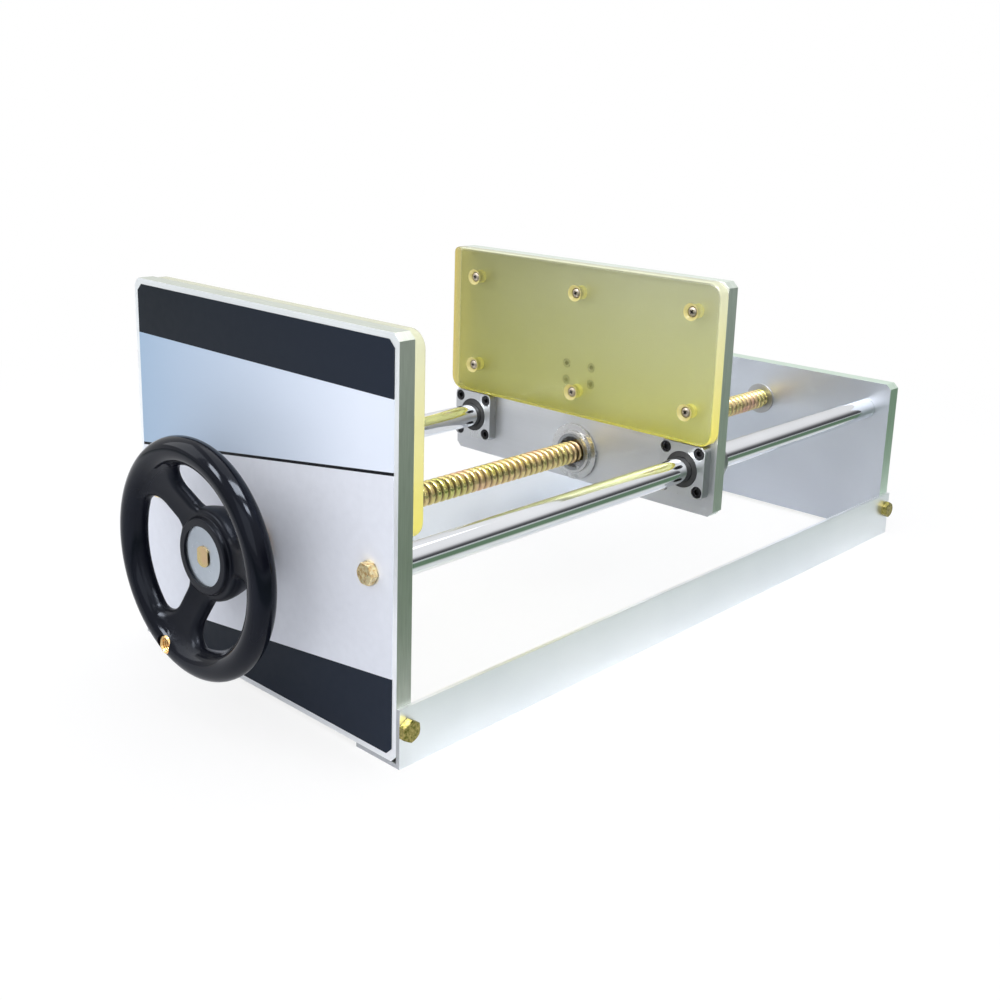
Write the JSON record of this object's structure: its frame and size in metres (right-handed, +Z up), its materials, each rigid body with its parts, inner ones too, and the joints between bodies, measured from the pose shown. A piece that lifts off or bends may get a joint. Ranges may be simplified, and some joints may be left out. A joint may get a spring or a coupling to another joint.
{
  "type": "carving vise",
  "caption": "Bench vise for carving: a padded jaw slides on chromed guide rods between end plates, driven by a lead screw with a spoked handwheel and a quick-release half nut.",
  "frame": {"origin": "on the bench under the middle of the whole vise, handwheel and bolt heads counted", "axes": "+X to the right across the jaws as seen from the handwheel, +Y from the handwheel to the back plate along the screw, +Z up"},
  "size_m": [0.2916, 0.7018, 0.27],
  "materials": {
    "plate_aluminium": "satin, brushed along the plate",
    "rail_aluminium": "satin, drawn",
    "jaw_aluminium": "satin, brushed",
    "printed_panel": "smooth film with plain bands",
    "urethane": "translucent, smooth",
    "screw_steel": "zinc plated",
    "yellow_zinc": "yellow zinc plated",
    "screw_zinc": "yellow zinc plated, rolled thread",
    "rod_chrome": "ground and hard chromed",
    "bronze": "turned",
    "bush_steel": "turned",
    "phenolic": "glossy moulding",
    "hub_zinc": "zinc plated, turned",
    "black_steel": "black oxide",
    "brass": "turned",
    "bearing_steel": "ground",
    "cage_resin": "moulded",
    "seal_rubber": "moulded",
    "guide_steel": "turned",
    "spring_steel": "bare spring steel",
    "block_steel": "milled",
    "grip_plastic": "dipped vinyl"
  },
  "bodies": {
    "frame": {"front_plate": "plate_aluminium", "front_label": "printed_panel", "fixed_pad": "urethane", "fixed_pad_screws": "screw_steel", "back_plate": "plate_aluminium", "left_rail": "rail_aluminium", "right_rail": "rail_aluminium", "rail_bolts": "yellow_zinc", "left_rod": "rod_chrome", "right_rod": "rod_chrome", "rod_bolts": "yellow_zinc", "front_bush": "bronze", "rear_bush": "bush_steel", "thrust_washer": "screw_steel"},
    "screw": {"lead_screw": "screw_zinc", "handwheel": "phenolic", "wheel_hub": "hub_zinc", "hub_set_screw": "black_steel", "handle_insert": "brass", "shaft_collar": "screw_steel", "collar_set_screw": "black_steel"},
    "jaw": {"jaw_plate": "jaw_aluminium", "jaw_pad": "urethane", "jaw_pad_screws": "screw_steel", "left_bearing": "bearing_steel", "right_bearing": "bearing_steel", "left_cage": "cage_resin", "right_cage": "cage_resin", "left_seals": "seal_rubber", "right_seals": "seal_rubber", "flange_screws": "black_steel", "screw_guide": "guide_steel", "snap_ring": "spring_steel", "nut_block": "block_steel", "block_screws": "black_steel", "block_cap": "block_steel", "cap_screws": "screw_steel", "nut_spring": "spring_steel", "release_bracket": "block_steel", "bracket_screws": "screw_steel", "pivot_pin": "spring_steel"},
    "half_nut": {"half_nut": "bronze", "lift_rod": "yellow_zinc", "lift_nut": "yellow_zinc"},
    "lever": {"release_lever": "block_steel", "lever_grip": "grip_plastic"}
  },
  "joints": [
    {"name": "jaw_slide", "type": "slide", "parent": "frame", "child": "jaw", "axis": [0, 1, 0], "range_m": [-0.2975, 0.243]},
    {"name": "screw_turn", "type": "hinge", "parent": "frame", "child": "screw", "pos_m": [0, -0.335, 0.11], "axis": [0, 1, 0], "continuous": true},
    {"name": "lever_swing", "type": "hinge", "parent": "jaw", "child": "lever", "pos_m": [0, 0.0756, 0.177], "axis": [-1, 0, 0], "range_deg": [0, 16], "stiffness_Nm_per_rad": 2, "springref_deg": -5.73},
    {"name": "half_nut_lift", "type": "slide", "parent": "jaw", "child": "half_nut", "axis": [0, 0, 1], "range_m": [0, 0.0028], "deforming": ["nut_spring"]}
  ],
  "couplings": [
    {"joint": "screw_turn", "follows": "jaw_slide", "rad_per_m": -937.79},
    {"joint": "half_nut_lift", "follows": "lever_swing", "m_per_rad": 0.00967}
  ]
}
